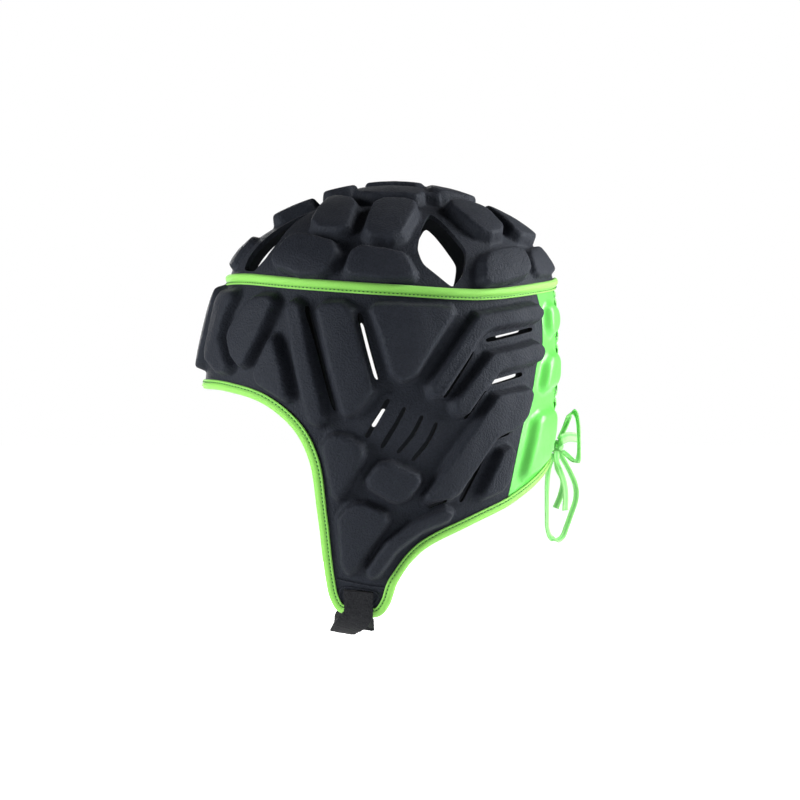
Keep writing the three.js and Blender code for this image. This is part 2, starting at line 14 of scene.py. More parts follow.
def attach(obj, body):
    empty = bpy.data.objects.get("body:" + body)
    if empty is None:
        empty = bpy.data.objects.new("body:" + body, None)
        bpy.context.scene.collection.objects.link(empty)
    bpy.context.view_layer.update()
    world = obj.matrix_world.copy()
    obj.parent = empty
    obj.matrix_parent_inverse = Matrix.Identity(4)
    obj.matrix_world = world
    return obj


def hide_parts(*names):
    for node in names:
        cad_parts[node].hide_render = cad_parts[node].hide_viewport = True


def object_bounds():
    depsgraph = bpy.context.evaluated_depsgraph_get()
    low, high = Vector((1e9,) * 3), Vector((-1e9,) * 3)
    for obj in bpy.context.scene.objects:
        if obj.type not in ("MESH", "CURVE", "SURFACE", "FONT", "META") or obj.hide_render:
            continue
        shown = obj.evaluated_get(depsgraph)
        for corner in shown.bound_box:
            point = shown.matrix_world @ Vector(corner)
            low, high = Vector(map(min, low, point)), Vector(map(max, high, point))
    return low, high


MM = 0.001
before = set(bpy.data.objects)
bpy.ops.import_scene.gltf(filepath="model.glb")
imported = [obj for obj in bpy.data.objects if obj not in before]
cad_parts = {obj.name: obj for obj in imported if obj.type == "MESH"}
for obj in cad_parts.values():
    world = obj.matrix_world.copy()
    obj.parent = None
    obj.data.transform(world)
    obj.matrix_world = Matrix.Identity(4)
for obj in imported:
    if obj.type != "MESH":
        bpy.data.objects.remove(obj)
cad_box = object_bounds()


# Camera
# A long lens at the guard's own height looks at its left side from well away.
CAMERA_AWAY = 1.300
CAMERA_HEIGHT = -0.123
CAMERA_ALONG = 0.004
CAMERA_TURN = math.radians(-0.8)
VIEW_WIDTH = 0.496

lens = bpy.data.cameras.new("camera")
lens.sensor_width = 36
lens.lens = lens.sensor_width * CAMERA_AWAY / VIEW_WIDTH
camera = bpy.data.objects.new("camera", lens)
bpy.context.scene.collection.objects.link(camera)
camera.location = (
    CAMERA_AWAY * math.cos(CAMERA_TURN) - CAMERA_ALONG * math.sin(CAMERA_TURN),
    CAMERA_AWAY * math.sin(CAMERA_TURN) + CAMERA_ALONG * math.cos(CAMERA_TURN),
    CAMERA_HEIGHT,
)
camera.rotation_euler = (math.pi / 2, 0, math.pi / 2 + CAMERA_TURN)
bpy.context.scene.camera = camera


# Studio
# The guard hangs over a wide sheet of white paper between white walls under a dark ceiling. Soft boxes light
# it from the front, the far side and high at the rear, so faces turned straight to the lens stay dark, and
# a thin strip box draws upright streaks on the rear panels.
FLOOR_DROP = 0.060
FLOOR_HALF = 8.0
PAPER_GLOW = 0.34
WALL_LIGHT = 0.24
CEILING = {"from": -0.05, "to": 0.55, "light": 0.035}
SOFT_BOXES = [
    {"name": "front_box", "at": (0.55, -1.30, -0.15), "size": (0.5, 1.0), "power": 29},
    {"name": "rear_box", "at": (0.10, 1.12, 0.42), "size": (0.5, 0.8), "power": 24},
    {"name": "strip_box", "at": (0.06, 1.32, -0.12), "size": (0.14, 1.0), "power": 11},
    {"name": "far_box", "at": (-1.25, -0.35, 0.00), "size": (0.8, 1.0), "power": 18},
]
bpy.context.scene.view_settings.view_transform = "Standard"


class Signal:
    """A shader socket that takes part in sums and products, and makes the next node."""

    def __init__(self, socket):
        self.socket = socket

    def node(self, kind, settings=None, inputs=None, output=0):
        made = self.socket.id_data.nodes.new(kind)
        for name, value in (settings or {}).items():
            setattr(made, name, value)
        for name, value in (inputs or {}).items():
            if isinstance(value, Signal):
                self.socket.id_data.links.new(value.socket, made.inputs[name])
            else:
                made.inputs[name].default_value = value
        return Signal(made.outputs[output]) if made.outputs else None

    def math(self, operation, first, second):
        return self.node("ShaderNodeMath", {"operation": operation}, {0: first, 1: second})

    def __add__(self, other):
        return self.math("ADD", self, other)

    def __rsub__(self, other):
        return self.math("SUBTRACT", other, self)

    def __mul__(self, other):
        return self.math("MULTIPLY", self, other)

    __radd__, __rmul__ = __add__, __mul__

    def noise(self, scale, detail=2.0):
        inputs = {"Vector": self, "Scale": scale, "Detail": detail}
        return self.node("ShaderNodeTexNoise", {"noise_dimensions": "3D"}, inputs)

    def stretched(self, along, across):
        return self.node("ShaderNodeMapping", {}, {"Vector": self, "Scale": (along, across, 1)})

    def ribs(self, scale, direction="X", distortion=0.0):
        settings = {"wave_type": "BANDS", "bands_direction": direction}
        inputs = {"Vector": self, "Scale": scale, "Distortion": distortion}
        return self.node("ShaderNodeTexWave", settings, inputs, 1)

    def ramp(self, low, high):
        limits = {"Value": self, "From Min": low, "From Max": high}
        return self.node("ShaderNodeMapRange", {"interpolation_type": "SMOOTHSTEP"}, limits)

    def tint(self, dark, light):
        dark, light = (c if isinstance(c, Signal) else (*c, 1) for c in (dark, light))
        return self.node("ShaderNodeMix", {"data_type": "RGBA"}, {"Factor": self, 6: dark, 7: light}, 2)

    def bump(self, depth, strength=1.0):
        return self.node("ShaderNodeBump", {}, {"Height": self, "Distance": depth, "Strength": strength})

    def finish(self, **sockets):
        inputs = {name.replace("_", " "): value for name, value in sockets.items()}
        shader = self.node("ShaderNodeBsdfPrincipled", {}, inputs)
        self.node("ShaderNodeOutputMaterial", {}, {"Surface": shader})


def blank_look(name, source="Object"):
    """A new material and the place on its surface, in object or UV coordinates."""
    look = bpy.data.materials.new(name)
    look.use_nodes = True
    look.node_tree.nodes.clear()
    return look, Signal(look.node_tree.nodes.new("ShaderNodeTexCoord").outputs[source])


def object_from(bm, name, look, smooth=True):
    """A mesh object from a bmesh, with its outside faces out."""
    bmesh.ops.recalc_face_normals(bm, faces=bm.faces)
    data = bpy.data.meshes.new(name)
    bm.to_mesh(data)
    bm.free()
    data.materials.append(look)
    data.polygons.foreach_set("use_smooth", [smooth] * len(data.polygons))
    piece = bpy.data.objects.new(name, data)
    bpy.context.scene.collection.objects.link(piece)
    return piece


paper, place = blank_look("studio_paper")
seen = place.node("ShaderNodeLightPath")
place.finish(
    Base_Color=place.noise(3.0).tint((0.80, 0.80, 0.80), (0.84, 0.84, 0.84)),
    Roughness=0.9,
    Emission_Color=seen.tint((PAPER_GLOW,) * 3, (1, 1, 1)),
    Emission_Strength=1.0,
)
bm = bmesh.new()
bmesh.ops.create_grid(bm, x_segments=8, y_segments=8, size=FLOOR_HALF)
bmesh.ops.translate(bm, verts=bm.verts, vec=(0, 0, cad_box[0].z - FLOOR_DROP))
object_from(bm, "paper_floor", paper)

for box in SOFT_BOXES:
    light = bpy.data.lights.new(box["name"], "AREA")
    light.shape, light.energy = "RECTANGLE", box["power"]
    light.size, light.size_y = box["size"]
    lamp = bpy.data.objects.new(box["name"], light)
    lamp.location = box["at"]
    aim = Vector((0, 0, CAMERA_HEIGHT)) - lamp.location
    lamp.rotation_euler = aim.to_track_quat("-Z", "Y").to_euler()
    bpy.context.scene.collection.objects.link(lamp)
world = bpy.data.worlds.new("room")
world.use_nodes = True
world.node_tree.nodes.clear()
seen = Signal(world.node_tree.nodes.new("ShaderNodeLightPath").outputs["Is Camera Ray"])
way = seen.node("ShaderNodeTexCoord")
rise = way.node("ShaderNodeSeparateXYZ", {}, {"Vector": way}, 2)
above = rise.ramp(CEILING["from"], CEILING["to"])
glow = above * (CEILING["light"] - WALL_LIGHT) + WALL_LIGHT
walls = {"Color": (1, 1, 1, 1), "Strength": seen + (1 - seen) * glow}
seen.node("ShaderNodeOutputWorld", {}, {"Surface": seen.node("ShaderNodeBackground", {}, walls)})
bpy.context.scene.world = world


# Moulded foam shell
# The crown and the side shell are sheets of closed-cell foam with a fine black knit outside and a dull
# lining inside, pressed hot into pads and webs. Vents, slits and edges are die-cut once a sheet has cooled.
SHEET = 3.0
GAP = 0.4
HEAD = [
    {"drop": 40, "side": 73.0, "front": 94.0, "back": 94.0},
    {"drop": 60, "side": 76.5, "front": 102.3, "back": 97.0},
    {"drop": 80, "side": 78.5, "front": 107.5, "back": 98.0},
    {"drop": 110, "side": 79.0, "front": 113.2, "back": 98.0},
    {"drop": 140, "side": 77.0, "front": 114.0, "back": 95.5},
    {"drop": 170, "side": 72.0, "front": 110.0, "back": 92.0},
    {"drop": 200, "side": 65.0, "front": 104.0, "back": 88.0},
    {"drop": 230, "side": 56.0, "front": 98.0, "back": 85.0},
    {"drop": 260, "side": 45.0, "front": 92.0, "back": 82.0},
]
SEAM = [
    {"turn": 0, "drop": 49.0},
    {"turn": 30, "drop": 50.3},
    {"turn": 60, "drop": 55.0},
    {"turn": 90, "drop": 59.0},
    {"turn": 120, "drop": 61.0},
    {"turn": 150, "drop": 55.7},
    {"turn": 180, "drop": 50.0},
]
OVAL = {"across": 76, "along": 98}
DOME = {"across": 104, "along": 114, "fullness": 1.75, "rim": 0.995, "pads_to": 0.965}
VENTS = [
    {
        "vent": "front",
        "line": [(15, -41), (29, -51), (45, -62), (53, -75), (54, -89), (41, -96), (29, -72)],
    },
    {
        "vent": "rear",
        "line": [(38, 18), (55, 31), (64, 39), (81, 41), (94, 37), (83, 16), (73, 12), (53, 14)],
    },
]
FACE_EDGE = [
    (0, -113.6), (41, -115.6), (69, -123.4), (87, -139), (95, -158), (97.2, -191), (98.4, -228),
    (100.2, -241), (103.8, -247.4), (109.5, -249),
]
NAPE_EDGE = [
    (122.5, -250.8), (128, -249.4), (132.4, -243.5), (137.4, -230), (153.6, -210.8), (184.5, -196),
    (213, -185),
]
REAR_NAPE_EDGE = [(213, -185), (235, -174.5), (255, -165), (264.6, -160.5)]
REAR_SEAM = [(232, -58), (236, -73), (236, -90), (230, -102), (227, -116), (221, -136), (213, -185)]
SLITS = [
    {"slit": "front", "width": 2.2, "line": [(89.5, -68), (99, -97), (107.5, -129)]},
    {"slit": "ear_front", "width": 2.6, "line": [(118.4, -72.5), (128.4, -111)]},
    {
        "slit": "sweep_upper", "width": 2.6,
        "line": [(226, -80.5), (191, -88)], "far_line": [(227, -78), (206, -81.8)],
    },
    {"slit": "sweep_upper_fall", "width": 3.0, "line": [(182, -94.5), (165, -121.5)]},
    {
        "slit": "sweep_lower", "width": 2.8,
        "line": [(217, -107.4), (194.5, -113)], "far_line": [(224, -106.4), (202, -112)],
    },
    {"slit": "sweep_lower_fall", "width": 3.0, "line": [(188.5, -118), (178, -133.8)]},
    {"slit": "nape_upper", "width": 2.6, "line": [(209.5, -142), (199, -145.5)]},
    {"slit": "nape_fall", "width": 3.0, "line": [(194.8, -150.5), (178.5, -183)]},
    {"slit": "low", "width": 2.0, "line": [(168.5, -182), (158, -186)]},
    {
        "slit": "ear_1", "width": 2.4,
        "line": [(134, -122.5), (123, -145)], "far_line": [(132.8, -129), (126.3, -140.5)],
    },
    {
        "slit": "ear_2", "width": 2.4,
        "line": [(143, -127.2), (130.4, -151)], "far_line": [(139.6, -127.5), (127.6, -150)],
    },
    {"slit": "ear_3", "width": 2.4, "line": [(153, -132), (147.5, -143), (138.6, -154)]},
    {"slit": "ear_4", "width": 2.4, "line": [(161.6, -136), (156.5, -147), (147.4, -158.5)]},
]
LIP = {"away": 2.6, "broad": 0.8, "high": 0.75}
TOP_WEB = {"from": 11.0, "to": 23.0, "half": 24.0, "height": 9.0}
PUNCH = (-4.0, 15.0)
VENT_PUNCH = (-6.0, 5.0, 16.0)
BAR = {"rings": 24, "ends": (0.45, 0.9, 1.0)}
PLATE_POINTS = 8
CORNER_CUTS = (0.14, 0.25, 0.25, 0.25)
CUT_PAST = {"top": 12.0, "low": 15.0, "rear": 12.0, "front": 10.0}
TOP_EDGE = {"half": 250, "points": 251}
LOW_EDGE_END = (250, -170)
SEAM_CUT_ENDS = (231, -40), (211, -200)
FINE_STEP = 0.5
EDGE_STEP = 1.6
SPAN_POINTS = 40
FEWEST_POINTS = 8
PROBE = {"reach": 25.0, "step": 0.8}
PRESS = {"wider": 1.0, "shoulder": 3.4, "steep": 1.7, "blur": 0.85, "pillow": 1.1, "pillow_blur": 6.0}
SIDE_GRID = {"around": 241.0, "top": -47.0, "bottom": -259.0, "step": 1.05, "inside_step": 5.0}
CROWN_GRID = {"turns": 470, "arc": DOME["along"] * 1.25, "step": 1.2, "inside_step": 5.0, "half": 116.0}
SHARP = math.radians(48)


def smooth_table(rows, key, column):
    """A smooth curve through two columns of a table, with each row's slope taken from its neighbours."""
    xs = np.array([row[key] for row in rows], float)
    ys = np.array([row[column] for row in rows], float)
    secants = np.diff(ys) / np.diff(xs)
    slopes = np.concatenate([secants[:1], (secants[1:] + secants[:-1]) / 2, secants[-1:]])

    def value(at):
        at = np.clip(at, xs[0], xs[-1])
        i = np.clip(np.searchsorted(xs, at) - 1, 0, len(xs) - 2)
        span = xs[i + 1] - xs[i]
        t = (at - xs[i]) / span
        start = (2 * t**3 - 3 * t**2 + 1) * ys[i] + (t**3 - 2 * t**2 + t) * span * slopes[i]
        end = (3 * t**2 - 2 * t**3) * ys[i + 1] + (t**3 - t**2) * span * slopes[i + 1]
        return start + end

    return value


head = {column: smooth_table(HEAD, "drop", column) for column in ("side", "front", "back")}
seam_drop = smooth_table(SEAM, "turn", "drop")
oval_turns = np.linspace(0, math.pi, 2001)
oval_points = np.stack([OVAL["along"] * np.cos(oval_turns), OVAL["across"] * np.sin(oval_turns)], 1)
oval_steps = np.linalg.norm(np.diff(oval_points, axis=0), axis=1)
oval_lengths = np.concatenate([[0], np.cumsum(oval_steps)])
HALF_ROUND = oval_lengths[-1]


def turn_at(around):
    """The turn about the head at a length round it from the middle of the brow."""
    return np.sign(around) * np.interp(np.abs(around), oval_lengths, oval_turns)


def seam_height(turn):
    return -seam_drop(np.degrees(np.abs(turn)))


def on_section(turn, z, height):
    """Points on level sections of the head, moved out from it by a height."""
    turn, z, height = np.broadcast_arrays(turn, np.asarray(z, float), height)
    side, front, back = (head[column](-z) for column in ("side", "front", "back"))
    reach = np.where(np.cos(turn) > 0, front, back)
    out = np.stack([np.sin(turn) / side, -np.cos(turn) / reach], -1)
    out = out / np.linalg.norm(out, axis=-1, keepdims=True) * height[..., None]
    level = np.stack([side * np.sin(turn), -reach * np.cos(turn)], -1) + out
    return np.concatenate([level, z[..., None]], -1)


def on_side(around, z, height):
    return on_section(turn_at(around), z, height)


def crown_share(x, y):
    return np.hypot(x / DOME["across"], y / DOME["along"])


def dome_point(x, y):
    """The inside of the crown for a place in its pattern, across and along the head."""
    share = np.minimum(crown_share(x, y), 1) * math.pi / 2
    turn = np.arctan2(x / DOME["across"], -y / DOME["along"])
    rim = on_section(turn, seam_height(turn), 0)
    power = 2 / DOME["fullness"]
    out = np.sin(share) ** power
    return rim * np.stack([out, out, 1 - np.cos(share) ** power], -1)


def on_crown(x, y, height):
    x, y, height = np.broadcast_arrays(x, y, height)
    nudge = 0.05
    across = dome_point(x + nudge, y) - dome_point(x - nudge, y)
    along = dome_point(x, y + nudge) - dome_point(x, y - nudge)
    out = np.cross(across, along)
    out /= np.maximum(np.linalg.norm(out, axis=-1, keepdims=True), 1e-9)
    return dome_point(x, y) + out * height[..., None]


def left_of(line):
    """Unit steps to the left of a flat line at each of its points."""
    run = np.gradient(np.asarray(line, float), axis=0)
    return np.stack([-run[:, 1], run[:, 0]], 1) / np.linalg.norm(run, axis=1)[:, None]


def spaced(points, count):
    """Points at even lengths along a line."""
    lengths = np.concatenate([[0], np.cumsum(np.linalg.norm(np.diff(points, axis=0), axis=1))])
    at = np.linspace(0, lengths[-1], count)
    return np.stack([np.interp(at, lengths, column) for column in np.asarray(points, float).T], 1)


def smooth_line(points, step):
    """Evenly spaced points of a centripetal curve through a few points."""
    points = np.array(points, float)
    before, after = 2 * points[0] - points[1], 2 * points[-1] - points[-2]
    whole = np.concatenate([[before], points, [after]])
    steps = np.diff(whole, axis=0)
    spans = np.sqrt(np.linalg.norm(steps, axis=1))[:, None]
    secants = steps / spans
    slopes = secants[:-1] + secants[1:] - (whole[2:] - whole[:-2]) / (spans[1:] + spans[:-1])
    t = np.linspace(0, 1, SPAN_POINTS, endpoint=False)[:, None]
    runs = []
    for i, span in enumerate(spans[1:-1]):
        start = (2 * t**3 - 3 * t**2 + 1) * points[i] + (t**3 - 2 * t**2 + t) * span * slopes[i]
        end = (3 * t**2 - 2 * t**3) * points[i + 1] + (t**3 - t**2) * span * slopes[i + 1]
        runs.append(start + end)
    curve = np.concatenate([*runs, points[-1:]])
    length = np.linalg.norm(np.diff(curve, axis=0), axis=1).sum()
    return spaced(curve, max(int(length / step), FEWEST_POINTS))


def swept(rings):
    """A closed skin along a row of rings in millimetres, with its lengths as UV coordinates."""
    rings = np.concatenate([rings, rings[:, :1]], 1) * MM
    rows, columns = rings.shape[:2]
    along = np.linalg.norm(np.diff(rings, axis=0), axis=2).mean(1)
    around = np.linalg.norm(np.diff(rings, axis=1), axis=2).mean(0)
    along, around = (np.concatenate([[0], np.cumsum(steps)]) for steps in (along, around))
    bm = bmesh.new()
    uv = bm.loops.layers.uv.new("UVMap")
    bmesh.ops.create_grid(bm, x_segments=columns - 1, y_segments=rows - 1, size=1)
    bm.verts.index_update()
    for vert, spot in zip(bm.verts, rings.reshape(-1, 3)):
        vert.co = spot
    for face in bm.faces:
        for loop in face.loops:
            row, column = divmod(loop.vert.index, columns)
            loop[uv].uv = along[row], around[column]
    bmesh.ops.remove_doubles(bm, verts=bm.verts, dist=1e-7)
    bmesh.ops.delete(bm, geom=[edge for edge in bm.edges if edge.is_wire], context="EDGES")
    bmesh.ops.holes_fill(bm, edges=[edge for edge in bm.edges if edge.is_boundary], sides=0)
    bmesh.ops.recalc_face_normals(bm, faces=bm.faces)
    return bm


def joined(parts):
    """One bmesh of several."""
    whole = bmesh.new()
    for part in parts:
        carrier = bpy.data.meshes.new("carrier")
        part.to_mesh(carrier)
        part.free()
        whole.from_mesh(carrier)
        bpy.data.meshes.remove(carrier)
    return whole


def rounded_loop(corners):
    """A closed outline with its corners cut back, a little at first, until they are round."""
    loop = np.array(corners, float)
    for cut in CORNER_CUTS:
        after = np.roll(loop, -1, 0)
        loop = np.stack([(1 - cut) * loop + cut * after, cut * loop + (1 - cut) * after], 1).reshape(-1, 2)
    return loop


def both_sides(rings, far_rings=None):
    """A swept block, and its mirror image or that of another on the far side of the head."""
    return joined([swept(rings), swept((rings if far_rings is None else far_rings) * (-1, 1, 1))])


def bar_rings(line, width):
    """Rings of a bar with round ends through the sheet, along a line of the side pattern."""
    line = spaced(smooth_line(line, FINE_STEP), BAR["rings"])
    from_end = np.minimum(np.arange(BAR["rings"]), np.arange(BAR["rings"])[::-1])
    half = width / 2 * np.interp(from_end, range(len(BAR["ends"])), BAR["ends"])
    aside = np.array([1, -1, -1, 1]) * half[:, None]
    spots = line[:, None] + aside[..., None] * left_of(line)[:, None]
    return on_side(spots[..., 0], spots[..., 1], np.repeat(PUNCH, 2)[None])


def plate_rings(near, far):
    """Rings of a curved block over all that lies between two lines of the side pattern."""
    share = np.linspace(0, 1, PLATE_POINTS)[None, :, None]
    flat = near[:, None] * (1 - share) + far[:, None] * share
    flat = np.concatenate([flat, flat[:, ::-1]], 1)
    return on_side(flat[..., 0], flat[..., 1], np.repeat(PUNCH, PLATE_POINTS)[None])


def blurred(field, cells):
    """A field with every value spread over its neighbours as a bell curve."""
    reach = int(3 * cells) + 1
    taps = np.exp(-0.5 * (np.arange(-reach, reach + 1) / cells) ** 2)
    taps /= taps.sum()
    for axis in (0, 1):
        padded = np.pad(field, [(reach, reach) if axis == i else (0, 0) for i in (0, 1)], mode="edge")
        size = field.shape[axis]
        field = sum(tap * padded.take(range(i, i + size), axis) for i, tap in enumerate(taps))
    return field


def widened(field, cells):
    """A field with its high places grown outwards."""
    reach = int(cells)
    grown = field
    for i in range(-reach, reach + 1):
        for j in range(-reach, reach + 1):
            if math.hypot(i, j) <= cells:
                grown = np.maximum(grown, np.roll(field, (i, j), (0, 1)))
    return grown


def merged_copy(node):
    bm = bmesh.new()
    bm.from_mesh(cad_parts[node].data)
    bmesh.ops.remove_doubles(bm, verts=bm.verts, dist=0.002 * MM)
    return bm


def slit_lips(around, z):
    """The low lips that the die leaves beside every slit."""
    lips = np.zeros(around.shape)
    for row in SLITS:
        line = spaced(row["line"], BAR["rings"])
        away = np.min([np.hypot(np.abs(around) - a, z - b) for a, b in line], 0)
        lips = np.maximum(lips, np.exp(-(((away - LIP["away"]) / LIP["broad"]) ** 2)))
    return LIP["high"] * lips


def pressed(node, place, first, second, extra=None, **changes):
    """Heights of a moulded sheet over its pattern: its solid's, steepened, softened and pillowed."""
    press = {**PRESS, **changes}
    step = PROBE["step"]
    axes = [np.arange(low, high + step, step) for low, high in (first, second)]
    spots = np.meshgrid(*axes, indexing="ij")
    bm = merged_copy(node)
    solid = BVHTree.FromBMesh(bm)
    bm.free()
    starts, ends = (place(*spots, height).reshape(-1, 3) * MM for height in (PROBE["reach"], 0.0))
    found = np.full(len(starts), SHEET)
    for i, (start, way) in enumerate(zip(starts, ends - starts)):
        distance = solid.ray_cast(start, way, PROBE["reach"] * MM)[3]
        if distance is not None:
            found[i] = PROBE["reach"] - distance / MM
    found = np.maximum(found, SHEET).reshape(spots[0].shape)
    if node == "crown":
        found[crown_share(*spots) > DOME["pads_to"]] = SHEET
        across, along = spots
        web = (np.abs(across) < TOP_WEB["half"]) & (along > TOP_WEB["from"]) & (along < TOP_WEB["to"])
        found[web] = np.maximum(found[web], TOP_WEB["height"])
    steep = SHEET + press["steep"] * (widened(found, press["wider"] / step) - SHEET)
    tall = np.minimum(steep, widened(found, press["shoulder"] / step))
    pads = np.clip((tall - SHEET) / max(np.ptp(tall), 1), 0, 1)
    domes = blurred(pads, press["pillow_blur"] / step) * pads
    soft = blurred(tall + press["pillow"] * domes + (extra(*spots) if extra else 0), press["blur"] / step)

    def height(a, b):
        u, v = ((at - axis[0]) / step for at, axis in zip((a, b), axes))
        i, j = (np.clip(at.astype(int), 0, size - 2) for at, size in zip((u, v), soft.shape))
        u, v = u - i, v - j
        lower = soft[i, j] * (1 - u) + soft[i + 1, j] * u
        upper = soft[i, j + 1] * (1 - u) + soft[i + 1, j + 1] * u
        return lower * (1 - v) + upper * v

    return height


def sheet_rings(place, outer, inner, height):
    """Rings of a sheet: out along its pressed face and back along its smooth inside."""
    tall = np.concatenate([height(outer[..., 0], outer[..., 1]), np.zeros(inner.shape[:2])], 1)
    flat = np.concatenate([outer, inner[:, ::-1]], 1)
    return place(flat[..., 0], flat[..., 1], tall)


def settled(piece):
    """Applies a piece's modifiers to its mesh."""
    fresh = bpy.data.meshes.new_from_object(piece.evaluated_get(bpy.context.evaluated_depsgraph_get()))
    piece.modifiers.clear()
    piece.data = fresh
    return fresh


def die_cut(piece, cutters, look):
    """Cuts blocks out of a moulded sheet and leaves crisp rims, with a look of their own on the cut."""
    dies = [object_from(cutter, "die", look, smooth=False) for cutter in cutters]
    for die in dies:
        cut = piece.modifiers.new("cut", "BOOLEAN")
        cut.object, cut.operation, cut.solver = die, "DIFFERENCE", "MANIFOLD"
        cut.material_mode = "TRANSFER"
    fresh = settled(piece)
    for die in dies:
        bpy.data.objects.remove(die)
    fresh.set_sharp_from_angle(angle=SHARP)


def lined(piece, rings, first, look):
    """Gives the inside of a moulded sheet, from one point of each ring on, a look of its own."""
    inside = np.linalg.norm(np.diff(rings, axis=1), axis=2).mean(0)[:first].sum() * MM
    spots, starts = np.empty(2 * len(piece.data.loops)), np.empty(len(piece.data.polygons), int)
    piece.data.uv_layers[0].data.foreach_get("uv", spots)
    piece.data.polygons.foreach_get("loop_start", starts)
    piece.data.materials.append(look)
    lowest = np.minimum.reduceat(spots[1::2], starts)
    piece.data.polygons.foreach_set("material_index", (lowest > inside - 1e-6).astype(int))


def foam_piece(piece, node):
    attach(piece, "root")
    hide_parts(node)


def square_grid(first, second, step):
    """A grid over a rectangle of a pattern, a row for each step along the first direction."""
    axes = [np.linspace(low, high, int((high - low) / step) + 1) for low, high in (first, second)]
    return np.stack(np.meshgrid(*axes, indexing="ij"), -1)


def same_rows(grid, step):
    """The same rows as a grid, with fewer points along each."""
    count = max(int(np.ptp(grid[0, :, 1]) / step), 4)
    picks = np.linspace(0, grid.shape[1] - 1, count).astype(int)
    return grid[:, picks]


black_knit, place = blank_look("black_knit")
grain = place.noise(1500.0, 3.0)
mottle = place.noise(850.0, 2.0).ramp(0.36, 0.64)
patches = place.noise(35.0, 3.0)
speckle = grain.ramp(0.35, 0.75)
loops = place.node("ShaderNodeTexVoronoi", {"feature": "F1"}, {"Vector": place, "Scale": 1100.0})
worn = speckle * 0.35 + mottle * 0.45 + patches * 0.20
place.finish(
    Base_Color=worn.tint((0.0030, 0.0042, 0.0088), (0.0150, 0.0176, 0.0262)),
    Roughness=0.54 + 0.16 * grain + 0.12 * mottle,
    Specular_IOR_Level=0.27,
    Specular_Tint=(0.86, 0.93, 1.0, 1),
    Sheen_Weight=0.03,
    Sheen_Roughness=0.5,
    Normal=(loops * 0.3 + grain * 0.3 + mottle * 0.4).bump(0.42 * MM, 0.85),
)
lining, place = blank_look("lining")
place.finish(
    Base_Color=place.noise(900.0, 3.0).tint((0.0032, 0.0038, 0.0060), (0.0115, 0.0125, 0.0160)),
    Roughness=0.9,
    Specular_IOR_Level=0.10,
)
# The cut walls of the foam: its own black, painted darker still as the shade deep inside the slits.
cut_foam_painted_shade, place = blank_look("cut_foam_painted_shade")
place.finish(
    Base_Color=place.noise(1200.0, 3.0).tint((0.0012, 0.0013, 0.0018), (0.0040, 0.0042, 0.0052)),
    Roughness=0.95,
    Specular_IOR_Level=0.08,
)

crown_half = CROWN_GRID["half"]
crown_height = pressed("crown", on_crown, (-crown_half, crown_half), (-crown_half, crown_half), wider=1.5)
turns = np.linspace(-math.pi, math.pi, CROWN_GRID["turns"])[:, None]
for_outer, for_inner = (
    np.linspace(0, DOME["rim"], int(CROWN_GRID["arc"] / CROWN_GRID[step]))[None]
    for step in ("step", "inside_step")
)
outer, inner = (
    np.stack([DOME["across"] * share * np.sin(turns), -DOME["along"] * share * np.cos(turns)], -1)
    for share in (for_outer, for_inner)
)
rings = sheet_rings(on_crown, outer, inner, crown_height)
piece = object_from(swept(rings), "foam_crown", black_knit)
lined(piece, rings, outer.shape[1], lining)
vents = []
for row in VENTS:
    ring = rounded_loop(row["line"])
    vents.append(both_sides(on_crown(ring[None, :, 0], ring[None, :, 1], np.array(VENT_PUNCH)[:, None])))
die_cut(piece, vents, black_knit)
foam_piece(piece, "crown")

around, top, bottom = (SIDE_GRID[key] for key in ("around", "top", "bottom"))
side_height = pressed("side_shell", on_side, (-around, around), (bottom, top), extra=slit_lips)
outer = square_grid((-around, around), (bottom, top), SIDE_GRID["step"])
inner = same_rows(outer, SIDE_GRID["inside_step"])
rings = sheet_rings(on_side, outer, inner, side_height)
piece = object_from(swept(rings), "foam_side_shell", black_knit)
lined(piece, rings, outer.shape[1], lining)
face_edge, nape_edge, rear_nape_edge, rear_seam = (
    smooth_line(edge, EDGE_STEP) for edge in (FACE_EDGE, NAPE_EDGE, REAR_NAPE_EDGE, REAR_SEAM)
)
low_edge = np.concatenate([face_edge, nape_edge, [LOW_EDGE_END]])
low_edge = np.concatenate([low_edge[:0:-1] * (-1, 1), low_edge])
top_edge = np.linspace(-TOP_EDGE["half"], TOP_EDGE["half"], TOP_EDGE["points"])
top_edge = np.stack([top_edge, seam_height(turn_at(top_edge)) - GAP], 1)
seam_cut = np.concatenate([SEAM_CUT_ENDS[:1], rear_seam, SEAM_CUT_ENDS[1:]])
slits = [
    [bar_rings(row.get(key, row["line"]), row["width"]) for key in ("line", "far_line")] for row in SLITS
]
cutters = [
    swept(plate_rings(low_edge, low_edge * (1, 0) + (0, bottom - CUT_PAST["low"]))),
    swept(plate_rings(top_edge, top_edge * (1, 0) + (0, top + CUT_PAST["top"]))),
    both_sides(plate_rings(seam_cut, seam_cut * (0, 1) + (around + CUT_PAST["rear"], 0))),
    joined([both_sides(*rings) for rings in slits]),
]
# The side shell's cut walls are painted darker than the knit, as shade inside the slits.
die_cut(piece, cutters, cut_foam_painted_shade)
foam_piece(piece, "side_shell")


# Rear panels
# Two panels of green stretch cloth over soft foam close the back, drawn together by the lace. The cloth
# is smooth and satin, so each pad carries an upright highlight.
EYELETS = {"around": 260.5, "heights": (-60, -88, -121, -150), "wide": 2.8, "tall": 8.6}
PANEL_END = HALF_ROUND * 27 / 28
PANEL_GRID = {"front": 208.0, "bottom": -190.0, "step": 0.9, "inside_step": 4.0}
PANEL_TOP_FROM = 195
PANEL_LOW_ENDS = (200, -190), (270, -158)
green_satin, place = blank_look("green_satin")
weave = place.noise(1800.0, 2.0)
place.finish(
    Base_Color=(place.noise(60.0) * 0.6 + weave * 0.4).tint((0.110, 0.56, 0.080), (0.155, 0.69, 0.115)),
    Roughness=0.24 + 0.10 * weave,
    Specular_IOR_Level=0.36,
    Normal=weave.bump(0.12 * MM, 0.35),
)
panel_area = (PANEL_GRID["front"], PANEL_END), (PANEL_GRID["bottom"], top)
